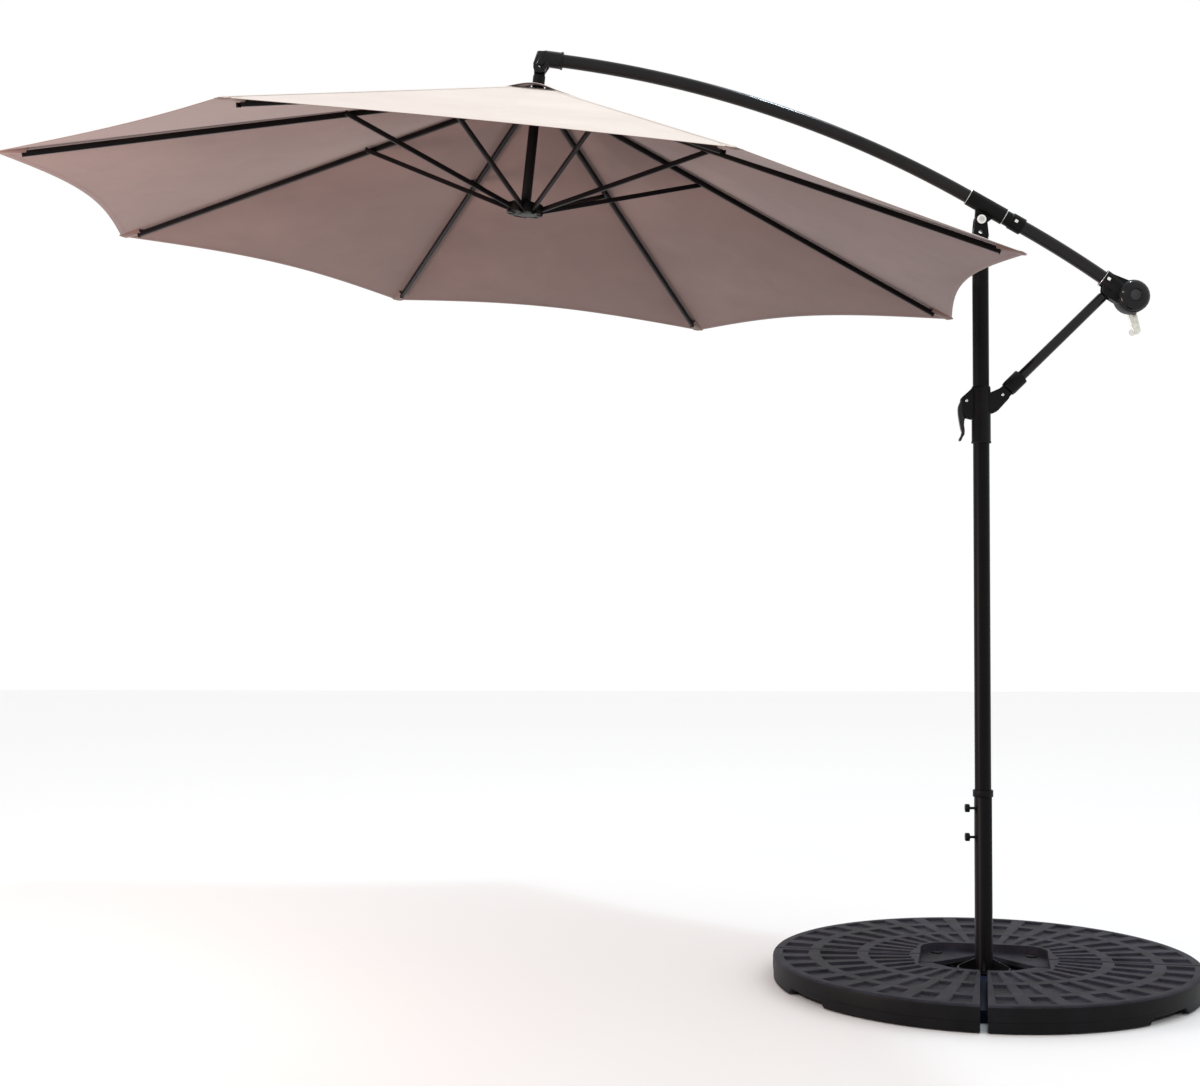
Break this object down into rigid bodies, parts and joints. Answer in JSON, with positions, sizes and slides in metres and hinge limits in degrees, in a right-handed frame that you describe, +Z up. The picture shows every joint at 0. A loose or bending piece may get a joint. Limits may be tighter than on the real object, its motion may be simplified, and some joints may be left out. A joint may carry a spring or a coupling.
{
  "type": "patio umbrella with base",
  "caption": "Cantilever patio umbrella: canopy hung from a curved arm on an offset pole, with winch, tilt strut, and a cross base under quarter-round weight plates.",
  "frame": {"origin": "on the floor, on the pole's axis, at the middle of the cross base", "axes": "+Z up; +X from the pole towards the winch, so the canopy hangs over -X; +Y to the back, the arm lies in the XZ plane"},
  "size_m": [3.3611, 2.7716, 2.7687],
  "materials": {
    "cross_frame": "dark navy powder coat",
    "pole": "black powder coat, satin",
    "arm_tube": "black powder coat, satin",
    "rib_frame": "black powder coat",
    "plate": "blow-moulded, fine grained, charcoal",
    "fitting": "moulded, black, fine satin",
    "gloss_fitting": "moulded, black, polished",
    "zinc": "zinc plated",
    "canopy": "plain-woven polyester, pale cream pink outside, mauve taupe in shade"
  },
  "bodies": {
    "base": {"cross_bar_x": "cross_frame", "cross_bar_y": "cross_frame", "base_post": "pole", "pole_collar": "fitting", "base_plate_1": "plate", "base_plate_2": "plate", "base_plate_3": "plate", "base_plate_4": "plate", "filler_cap_1": "fitting", "filler_cap_2": "fitting", "filler_cap_3": "fitting", "filler_cap_4": "fitting"},
    "upper_screw": {"thumbscrew_upper": "fitting"},
    "lower_screw": {"thumbscrew_lower": "fitting"},
    "mast": {"upper_pole": "pole", "pole_top_cap": "fitting", "pivot_bolt": "zinc"},
    "arm": {"arm_tube": "arm_tube", "arm_sleeve": "fitting", "arm_coupler": "fitting", "tail_tube": "arm_tube", "crank_housing": "fitting", "housing_cover": "gloss_fitting", "elbow_socket": "gloss_fitting"},
    "slider": {"slider_sleeve": "fitting"},
    "lever": {"slider_lever": "fitting"},
    "strut": {"strut_tube": "arm_tube", "strut_socket": "fitting"},
    "crank": {"crank_arm": "zinc", "crank_grip": "zinc", "winch_drum": "zinc"},
    "head": {"hanger_neck": "fitting", "crown_hub": "fitting", "vent_cap": "canopy"},
    "runner": {"centre_tube": "rib_frame", "runner_hub": "fitting"},
    "rib_body_1": {"rib_1": "rib_frame", "canopy_1": "canopy"},
    "stretcher_body_1": {"stretcher_1": "rib_frame"},
    "rib_body_2": {"rib_2": "rib_frame", "canopy_2": "canopy"},
    "stretcher_body_2": {"stretcher_2": "rib_frame"},
    "rib_body_3": {"rib_3": "rib_frame", "canopy_3": "canopy"},
    "stretcher_body_3": {"stretcher_3": "rib_frame"},
    "rib_body_4": {"rib_4": "rib_frame", "canopy_4": "canopy"},
    "stretcher_body_4": {"stretcher_4": "rib_frame"},
    "rib_body_5": {"rib_5": "rib_frame", "canopy_5": "canopy"},
    "stretcher_body_5": {"stretcher_5": "rib_frame"},
    "rib_body_6": {"rib_6": "rib_frame", "canopy_6": "canopy"},
    "stretcher_body_6": {"stretcher_6": "rib_frame"},
    "rib_body_7": {"rib_7": "rib_frame", "canopy_7": "canopy"},
    "stretcher_body_7": {"stretcher_7": "rib_frame"},
    "rib_body_8": {"rib_8": "rib_frame", "canopy_8": "canopy"},
    "stretcher_body_8": {"stretcher_8": "rib_frame"}
  },
  "joints": [
    {"name": "upper_screw_turn", "type": "hinge", "parent": "base", "child": "upper_screw", "pos_m": [-0.04, 0, 0.509], "axis": [1, 0, 0], "continuous": true},
    {"name": "lower_screw_turn", "type": "hinge", "parent": "base", "child": "lower_screw", "pos_m": [-0.04, 0, 0.424], "axis": [1, 0, 0], "continuous": true},
    {"name": "mast_swivel", "type": "hinge", "parent": "base", "child": "mast", "pos_m": [0, 0, 1], "axis": [0, 0, 1], "continuous": true},
    {"name": "arm_tilt", "type": "hinge", "parent": "mast", "child": "arm", "pos_m": [0, 0, 2.249], "axis": [0, -1, 0], "range_deg": [-2, 30]},
    {"name": "slider_slide", "type": "slide", "parent": "mast", "child": "slider", "axis": [0, 0, 1], "range_m": [-0.036, 0.302]},
    {"name": "strut_swing", "type": "hinge", "parent": "arm", "child": "strut", "pos_m": [0.37519, 0, 2.0362], "axis": [0, -1, 0], "range_deg": [-44, 5]},
    {"name": "canopy_hang", "type": "hinge", "parent": "arm", "child": "head", "pos_m": [-1.30971, 0, 2.71649], "axis": [0, -1, 0], "range_deg": [-31, 4]},
    {"name": "lever_squeeze", "type": "hinge", "parent": "slider", "child": "lever", "pos_m": [-0.0443, 0, 1.71232], "axis": [0, -1, 0], "range_deg": [0, 9], "stiffness_Nm_per_rad": 2},
    {"name": "crank_turn", "type": "hinge", "parent": "arm", "child": "crank", "pos_m": [0.44454, 0, 2.01897], "axis": [0, 1, 0], "range_deg": [-1530, 2]},
    {"name": "canopy_fold", "type": "slide", "parent": "head", "child": "runner", "axis": [-0.1042, 0, -0.9946], "range_m": [0, 0.7459]},
    {"name": "rib_fold_1", "type": "hinge", "parent": "head", "child": "rib_body_1", "pos_m": [-1.27541, 0.01799, 2.62716], "axis": [-0.3806, 0.9239, 0.0399], "range_deg": [-1, 66.83], "deforming": ["canopy_1"]},
    {"name": "stretcher_fold_1", "type": "hinge", "parent": "runner", "child": "stretcher_body_1", "pos_m": [-1.31777, 0.02877, 2.28649], "axis": [-0.3806, 0.9239, 0.0399], "range_deg": [-65.51, 1]},
    {"name": "rib_fold_2", "type": "hinge", "parent": "head", "child": "rib_body_2", "pos_m": [-1.30071, 0.04342, 2.62981], "axis": [-0.9189, 0.3827, 0.0963], "range_deg": [-1, 66.83], "deforming": ["canopy_2"]},
    {"name": "stretcher_fold_2", "type": "hinge", "parent": "runner", "child": "stretcher_body_2", "pos_m": [-1.34872, 0.04636, 2.28973], "axis": [-0.9189, 0.3827, 0.0963], "range_deg": [-65.51, 1]},
    {"name": "rib_fold_3", "type": "hinge", "parent": "head", "child": "rib_body_3", "pos_m": [-1.33649, 0.04342, 2.63356], "axis": [-0.9189, -0.3827, 0.0963], "range_deg": [-1, 66.83], "deforming": ["canopy_3"]},
    {"name": "stretcher_fold_3", "type": "hinge", "parent": "runner", "child": "stretcher_body_3", "pos_m": [-1.38297, 0.03679, 2.29332], "axis": [-0.9189, -0.3827, 0.0963], "range_deg": [-65.51, 1]},
    {"name": "rib_fold_4", "type": "hinge", "parent": "head", "child": "rib_body_4", "pos_m": [-1.36179, 0.01799, 2.63621], "axis": [-0.3806, -0.9239, 0.0399], "range_deg": [-1, 66.83], "deforming": ["canopy_4"]},
    {"name": "stretcher_fold_4", "type": "hinge", "parent": "runner", "child": "stretcher_body_4", "pos_m": [-1.40046, 0.00567, 2.29515], "axis": [-0.3806, -0.9239, 0.0399], "range_deg": [-65.51, 1]},
    {"name": "rib_fold_5", "type": "hinge", "parent": "head", "child": "rib_body_5", "pos_m": [-1.36179, -0.01799, 2.63621], "axis": [0.3806, -0.9239, -0.0399], "range_deg": [-1, 66.83], "deforming": ["canopy_5"]},
    {"name": "stretcher_fold_5", "type": "hinge", "parent": "runner", "child": "stretcher_body_5", "pos_m": [-1.39095, -0.02877, 2.29415], "axis": [0.3806, -0.9239, -0.0399], "range_deg": [-65.51, 1]},
    {"name": "rib_fold_6", "type": "hinge", "parent": "head", "child": "rib_body_6", "pos_m": [-1.33649, -0.04342, 2.63356], "axis": [0.9189, -0.3827, -0.0963], "range_deg": [-1, 66.83], "deforming": ["canopy_6"]},
    {"name": "stretcher_fold_6", "type": "hinge", "parent": "runner", "child": "stretcher_body_6", "pos_m": [-1.36, -0.04636, 2.29091], "axis": [0.9189, -0.3827, -0.0963], "range_deg": [-65.51, 1]},
    {"name": "rib_fold_7", "type": "hinge", "parent": "head", "child": "rib_body_7", "pos_m": [-1.30071, -0.04342, 2.62981], "axis": [0.9189, 0.3827, -0.0963], "range_deg": [-1, 66.83], "deforming": ["canopy_7"]},
    {"name": "stretcher_fold_7", "type": "hinge", "parent": "runner", "child": "stretcher_body_7", "pos_m": [-1.32575, -0.03679, 2.28732], "axis": [0.9189, 0.3827, -0.0963], "range_deg": [-65.51, 1]},
    {"name": "rib_fold_8", "type": "hinge", "parent": "head", "child": "rib_body_8", "pos_m": [-1.27541, -0.01799, 2.62716], "axis": [0.3806, 0.9239, -0.0399], "range_deg": [-1, 66.83], "deforming": ["canopy_8"]},
    {"name": "stretcher_fold_8", "type": "hinge", "parent": "runner", "child": "stretcher_body_8", "pos_m": [-1.30825, -0.00567, 2.28549], "axis": [0.3806, 0.9239, -0.0399], "range_deg": [-65.51, 1]}
  ],
  "couplings": [
    {"joint": "slider_slide", "follows": "arm_tilt", "m_per_rad": 0.5477},
    {"joint": "strut_swing", "follows": "arm_tilt", "ratio": -1.3934},
    {"joint": "canopy_hang", "follows": "arm_tilt", "ratio": -1},
    {"joint": "crank_turn", "follows": "canopy_fold", "rad_per_m": -35.714},
    {"joint": "rib_fold_1", "follows": "canopy_fold", "rad_per_m": 1.552},
    {"joint": "stretcher_fold_1", "follows": "canopy_fold", "rad_per_m": -1.5212},
    {"joint": "rib_fold_2", "follows": "canopy_fold", "rad_per_m": 1.552},
    {"joint": "stretcher_fold_2", "follows": "canopy_fold", "rad_per_m": -1.5212},
    {"joint": "rib_fold_3", "follows": "canopy_fold", "rad_per_m": 1.552},
    {"joint": "stretcher_fold_3", "follows": "canopy_fold", "rad_per_m": -1.5212},
    {"joint": "rib_fold_4", "follows": "canopy_fold", "rad_per_m": 1.552},
    {"joint": "stretcher_fold_4", "follows": "canopy_fold", "rad_per_m": -1.5212},
    {"joint": "rib_fold_5", "follows": "canopy_fold", "rad_per_m": 1.552},
    {"joint": "stretcher_fold_5", "follows": "canopy_fold", "rad_per_m": -1.5212},
    {"joint": "rib_fold_6", "follows": "canopy_fold", "rad_per_m": 1.552},
    {"joint": "stretcher_fold_6", "follows": "canopy_fold", "rad_per_m": -1.5212},
    {"joint": "rib_fold_7", "follows": "canopy_fold", "rad_per_m": 1.552},
    {"joint": "stretcher_fold_7", "follows": "canopy_fold", "rad_per_m": -1.5212},
    {"joint": "rib_fold_8", "follows": "canopy_fold", "rad_per_m": 1.552},
    {"joint": "stretcher_fold_8", "follows": "canopy_fold", "rad_per_m": -1.5212}
  ]
}
